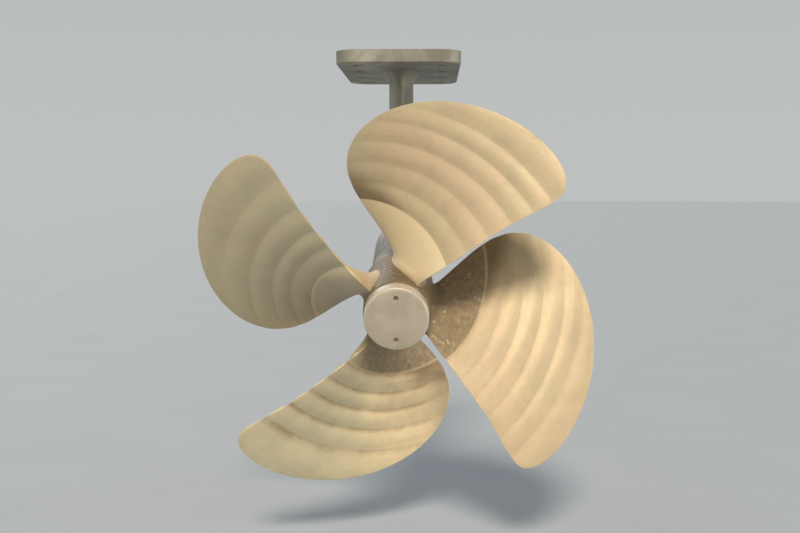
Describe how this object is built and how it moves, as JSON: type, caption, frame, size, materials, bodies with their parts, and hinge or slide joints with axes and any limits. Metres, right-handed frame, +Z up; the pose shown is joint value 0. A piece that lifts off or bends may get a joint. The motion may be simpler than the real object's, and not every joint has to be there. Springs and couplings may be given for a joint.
{
  "type": "ship propeller on its tail shaft and shaft bracket",
  "caption": "Left-handed monobloc bronze ship propeller with wide ribbed blades, on its tail shaft in a single-leg hull bracket.",
  "frame": {"origin": "centre of the top face of the bracket palm, where it bolts up under the hull", "axes": "+Z up, +Y towards the bow, +X to starboard; the shaft line lies in the YZ plane and rises 12.6 degrees towards +Y"},
  "size_m": [0.7352, 0.7434, 0.82],
  "materials": {
    "bronze": "golden-tan coated bronze casting, satin, slightly grainy, with rounded rings across the blades",
    "cap_bronze": "coated bronze cap, greyer than the blades",
    "stainless_steel": "turned stainless steel",
    "bracket_paint": "matt grey-green primer on bronze",
    "bearing_brass": "turned brass sleeve",
    "bearing_rubber": "moulded nitrile rubber"
  },
  "bodies": {
    "bracket": {"bracket_palm": "bracket_paint", "bracket_leg": "bracket_paint", "bracket_barrel": "bracket_paint", "bearing_shell": "bearing_brass", "bearing_rubber": "bearing_rubber", "bearing_set_screw_1": "stainless_steel", "bearing_set_screw_2": "stainless_steel", "palm_bolt_1": "stainless_steel", "palm_bolt_2": "stainless_steel", "palm_bolt_3": "stainless_steel", "palm_bolt_4": "stainless_steel", "palm_bolt_5": "stainless_steel", "palm_bolt_6": "stainless_steel", "palm_bolt_7": "stainless_steel", "palm_bolt_8": "stainless_steel"},
    "propeller": {"propeller_casting": "bronze", "boss_cap": "cap_bronze", "propeller_nut": "stainless_steel", "lock_nut": "stainless_steel", "shaft_key": "stainless_steel", "tail_shaft": "stainless_steel"}
  },
  "joints": [
    {"name": "propeller_spin", "type": "hinge", "parent": "bracket", "child": "propeller", "pos_m": [0, 0, -0.41], "axis": [0, -0.9759, -0.2181], "continuous": true}
  ]
}
